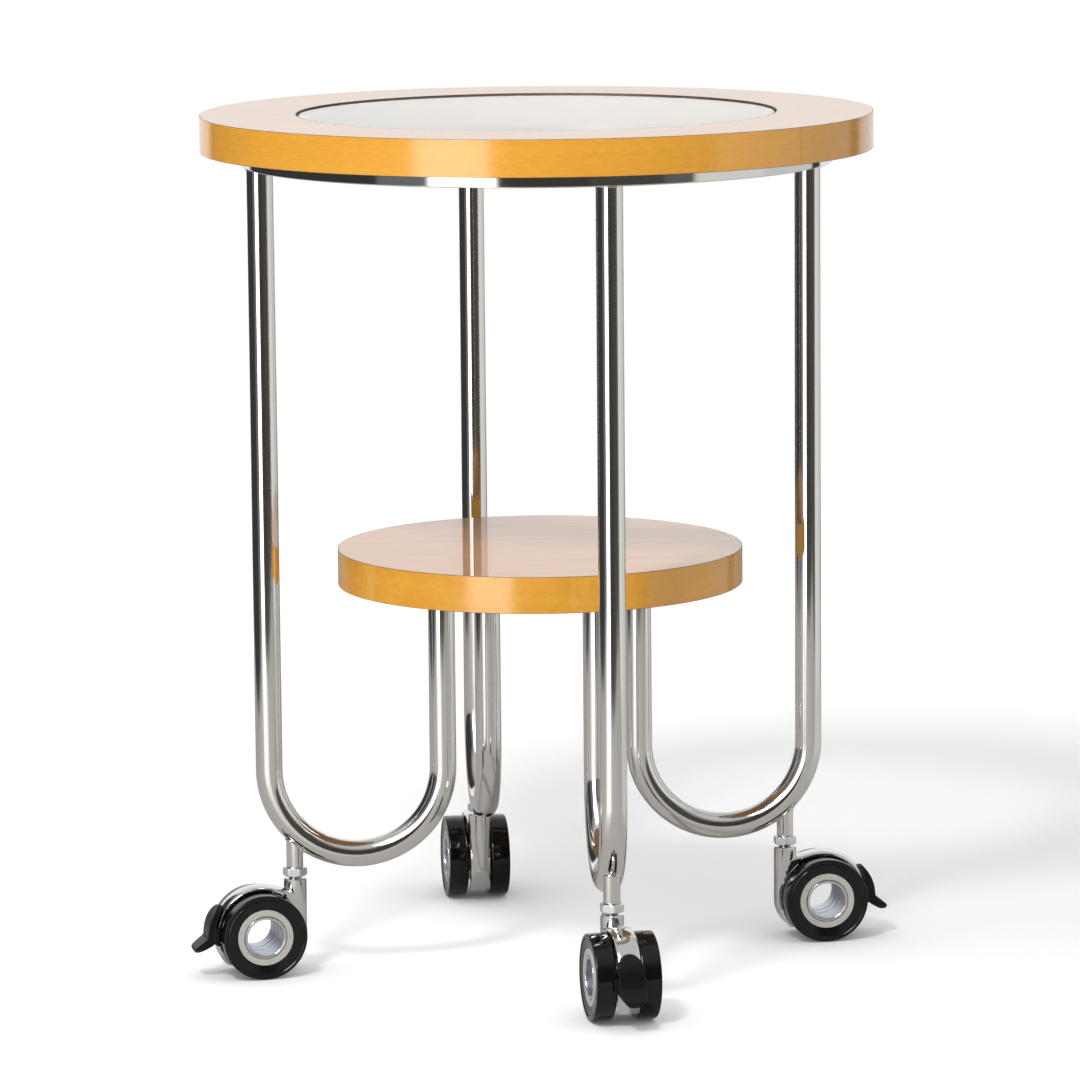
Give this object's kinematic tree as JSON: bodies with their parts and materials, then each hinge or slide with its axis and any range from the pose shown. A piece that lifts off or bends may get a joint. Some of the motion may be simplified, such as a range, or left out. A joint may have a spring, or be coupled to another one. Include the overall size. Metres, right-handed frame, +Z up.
{
  "type": "rolling side table",
  "caption": "Round rolling side table with a glass-centred veneered top, a lower shelf, J-bent chromed legs in a pinwheel and hollow-hub braked casters.",
  "frame": {"origin": "on the floor, under the centre of the top", "axes": "+Z up; +X towards the leg called right, +Y towards the leg called back"},
  "size_m": [0.5355, 0.5358, 0.64],
  "materials": {
    "wood_core": "board core",
    "veneer": "lacquered satin veneer",
    "edge_band": "lacquered satin veneer edging",
    "glass": "clear float glass, ground edge",
    "clear_pad": "clear soft plastic",
    "chrome": "bright chrome plate",
    "polished_steel": "polished",
    "zinc_plate": "blue zinc plate",
    "spring_steel": "plain spring steel",
    "satin_grey": "satin grey, faintly turned",
    "tyre": "smooth black, slightly glossy",
    "black_plastic": "fine-grained black"
  },
  "bodies": {
    "table": {"top_board": "wood_core", "top_veneer": "veneer", "top_edge_band": "edge_band", "opening_edge_band": "edge_band", "glass_disc": "glass", "glass_pads": "clear_pad", "support_ring": "chrome", "ring_screws": "zinc_plate", "shelf_board": "wood_core", "shelf_veneer": "veneer", "shelf_edge_band": "edge_band", "shelf_studs": "zinc_plate", "shelf_inserts": "zinc_plate", "lock_nuts": "zinc_plate", "caster_stems": "zinc_plate", "grip_rings": "spring_steel", "leg_tube_right": "chrome", "caster_socket_right": "chrome", "leg_tube_back": "chrome", "caster_socket_back": "chrome", "leg_tube_left": "chrome", "caster_socket_left": "chrome", "leg_tube_front": "chrome", "caster_socket_front": "chrome"},
    "caster_right": {"caster_housing_right": "chrome", "axle_sleeves_right": "polished_steel", "lever_pin_right": "zinc_plate"},
    "pedal_right": {"brake_lever_right": "black_plastic"},
    "wheel_right_a": {"wheel_disc_right_a": "satin_grey", "tyre_right_a": "tyre"},
    "wheel_right_b": {"wheel_disc_right_b": "satin_grey", "tyre_right_b": "tyre"},
    "caster_back": {"caster_housing_back": "chrome", "axle_sleeves_back": "polished_steel", "lever_pin_back": "zinc_plate"},
    "pedal_back": {"brake_lever_back": "black_plastic"},
    "wheel_back_a": {"wheel_disc_back_a": "satin_grey", "tyre_back_a": "tyre"},
    "wheel_back_b": {"wheel_disc_back_b": "satin_grey", "tyre_back_b": "tyre"},
    "caster_left": {"caster_housing_left": "chrome", "axle_sleeves_left": "polished_steel", "lever_pin_left": "zinc_plate"},
    "pedal_left": {"brake_lever_left": "black_plastic"},
    "wheel_left_a": {"wheel_disc_left_a": "satin_grey", "tyre_left_a": "tyre"},
    "wheel_left_b": {"wheel_disc_left_b": "satin_grey", "tyre_left_b": "tyre"},
    "caster_front": {"caster_housing_front": "chrome", "axle_sleeves_front": "polished_steel", "lever_pin_front": "zinc_plate"},
    "pedal_front": {"brake_lever_front": "black_plastic"},
    "wheel_front_a": {"wheel_disc_front_a": "satin_grey", "tyre_front_a": "tyre"},
    "wheel_front_b": {"wheel_disc_front_b": "satin_grey", "tyre_front_b": "tyre"}
  },
  "joints": [
    {"name": "swivel_right", "type": "hinge", "parent": "table", "child": "caster_right", "pos_m": [0.189, 0.035, 0.06], "axis": [0, 0, 1], "continuous": true},
    {"name": "wheel_spin_right_a", "type": "hinge", "parent": "caster_right", "child": "wheel_right_a", "pos_m": [0.21687, 0.03768, 0.032], "axis": [-0.0958, 0.9954, 0], "continuous": true},
    {"name": "wheel_spin_right_b", "type": "hinge", "parent": "caster_right", "child": "wheel_right_b", "pos_m": [0.21687, 0.03768, 0.032], "axis": [-0.0958, 0.9954, 0], "continuous": true},
    {"name": "brake_right", "type": "hinge", "parent": "caster_right", "child": "pedal_right", "pos_m": [0.24524, 0.04042, 0.033], "axis": [-0.0958, 0.9954, 0], "range_deg": [0, 12]},
    {"name": "swivel_back", "type": "hinge", "parent": "table", "child": "caster_back", "pos_m": [-0.035, 0.189, 0.06], "axis": [0, 0, 1], "continuous": true},
    {"name": "wheel_spin_back_a", "type": "hinge", "parent": "caster_back", "child": "wheel_back_a", "pos_m": [-0.03671, 0.21695, 0.032], "axis": [-0.9981, -0.061, 0], "continuous": true},
    {"name": "wheel_spin_back_b", "type": "hinge", "parent": "caster_back", "child": "wheel_back_b", "pos_m": [-0.03671, 0.21695, 0.032], "axis": [-0.9981, -0.061, 0], "continuous": true},
    {"name": "brake_back", "type": "hinge", "parent": "caster_back", "child": "pedal_back", "pos_m": [-0.03845, 0.24539, 0.033], "axis": [-0.9981, -0.061, 0], "range_deg": [0, 12]},
    {"name": "swivel_left", "type": "hinge", "parent": "table", "child": "caster_left", "pos_m": [-0.189, -0.035, 0.06], "axis": [0, 0, 1], "continuous": true},
    {"name": "wheel_spin_left_a", "type": "hinge", "parent": "caster_left", "child": "wheel_left_a", "pos_m": [-0.21653, -0.0401, 0.032], "axis": [0.1822, -0.9833, 0], "continuous": true},
    {"name": "wheel_spin_left_b", "type": "hinge", "parent": "caster_left", "child": "wheel_left_b", "pos_m": [-0.21653, -0.0401, 0.032], "axis": [0.1822, -0.9833, 0], "continuous": true},
    {"name": "brake_left", "type": "hinge", "parent": "caster_left", "child": "pedal_left", "pos_m": [-0.24455, -0.0453, 0.033], "axis": [0.1822, -0.9833, 0], "range_deg": [0, 12]},
    {"name": "swivel_front", "type": "hinge", "parent": "table", "child": "caster_front", "pos_m": [0.035, -0.189, 0.06], "axis": [0, 0, 1], "continuous": true},
    {"name": "wheel_spin_front_a", "type": "hinge", "parent": "caster_front", "child": "wheel_front_a", "pos_m": [0.03841, -0.21679, 0.032], "axis": [0.9925, 0.1219, 0], "continuous": true},
    {"name": "wheel_spin_front_b", "type": "hinge", "parent": "caster_front", "child": "wheel_front_b", "pos_m": [0.03841, -0.21679, 0.032], "axis": [0.9925, 0.1219, 0], "continuous": true},
    {"name": "brake_front", "type": "hinge", "parent": "caster_front", "child": "pedal_front", "pos_m": [0.04189, -0.24508, 0.033], "axis": [0.9925, 0.1219, 0], "range_deg": [0, 12]}
  ]
}
